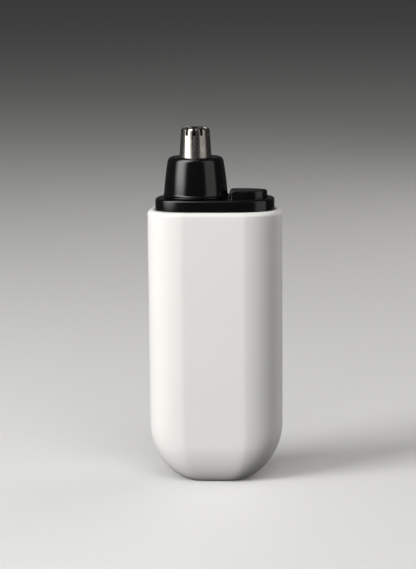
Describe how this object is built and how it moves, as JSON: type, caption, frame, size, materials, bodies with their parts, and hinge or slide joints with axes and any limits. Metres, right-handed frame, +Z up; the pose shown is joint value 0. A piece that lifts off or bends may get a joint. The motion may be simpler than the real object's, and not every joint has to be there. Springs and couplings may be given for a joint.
{
  "type": "nose hair trimmer",
  "caption": "Standing capsule-shaped nose hair trimmer: off-white rounded sleeve, black deck, pull-off domed head with slotted steel cutter, D-shaped push button.",
  "frame": {"origin": "middle of the flat foot the trimmer stands on", "axes": "+Z up towards the cutter, -Y the front with the flat facet, +X the side the button is on"},
  "size_m": [0.0328, 0.0204, 0.0865],
  "materials": {
    "white_shell": "satin moulded off-white, fine sheen",
    "black_gloss": "polished black moulding",
    "black_plastic": "plain moulded",
    "grey_plastic": "plain moulded",
    "steel": "satin stainless",
    "plated": "nickel plated strip",
    "copper": "enamelled copper",
    "bronze": "sintered, oily",
    "magnet": "sintered ferrite",
    "rubber": "soft silicone",
    "board": "solder mask on glass laminate",
    "chip": "moulded package",
    "cell_wrap": "shrink film over a metal can",
    "wire_red": "smooth insulation",
    "wire_black": "smooth insulation",
    "wire_grey": "smooth insulation"
  },
  "bodies": {
    "handle": {"body_sleeve": "white_shell", "top_deck": "black_gloss", "deck_gasket": "rubber", "deck_screw_front": "steel", "deck_screw_rear": "steel", "chassis": "grey_plastic", "motor_can": "steel", "motor_end_cap": "black_plastic", "motor_front_bush": "bronze", "motor_rear_bush": "bronze", "motor_magnet_left": "magnet", "motor_magnet_right": "magnet", "motor_brush_left": "copper", "motor_brush_right": "copper", "motor_terminal_left": "plated", "motor_terminal_right": "plated", "motor_screw_left": "steel", "motor_screw_right": "steel", "battery_cell": "cell_wrap", "cell_insulator": "grey_plastic", "cell_tab_top": "plated", "cell_tab_bottom": "plated", "main_board": "board", "board_screw_1": "steel", "board_screw_2": "steel", "charge_controller": "chip", "motor_driver": "chip", "charge_lamp": "white_shell", "socket_shell": "steel", "socket_tongue": "black_plastic", "neck_ring": "rubber", "shaft_seal": "rubber", "button_boot": "rubber", "motor_wire_red": "wire_red", "motor_wire_black": "wire_black", "cell_wire_red": "wire_red", "cell_wire_black": "wire_black", "switch_wire": "wire_grey", "switch_board": "board", "switch_housing": "chip"},
    "head": {"head_dome": "black_gloss", "cutter_cap": "steel", "cutter_retainer": "black_plastic"},
    "rotor": {"motor_shaft": "steel", "armature_core": "steel", "armature_coil_1": "copper", "armature_coil_2": "copper", "armature_coil_3": "copper", "commutator": "copper", "drive_coupler": "grey_plastic", "blade_carrier": "grey_plastic", "blade_spring": "steel", "inner_blade": "steel"},
    "button": {"button_cap": "black_gloss"},
    "plunger": {"switch_plunger": "grey_plastic"}
  },
  "joints": [
    {"name": "head_lift", "type": "slide", "parent": "handle", "child": "head", "axis": [0, 0, 1], "range_m": [0, 0.03]},
    {"name": "rotor_spin", "type": "hinge", "parent": "handle", "child": "rotor", "pos_m": [-0.00465, 0, 0.05], "axis": [0, 0, 1], "continuous": true},
    {"name": "button_press", "type": "slide", "parent": "handle", "child": "button", "axis": [0, 0, -1], "range_m": [0, 0.0006], "stiffness_N_per_m": 1000, "springref_m": -0.0002},
    {"name": "plunger_press", "type": "slide", "parent": "handle", "child": "plunger", "axis": [0, 0, -1], "range_m": [0, 0.0007]}
  ],
  "couplings": [
    {"joint": "plunger_press", "follows": "button_press", "ratio": 1}
  ]
}
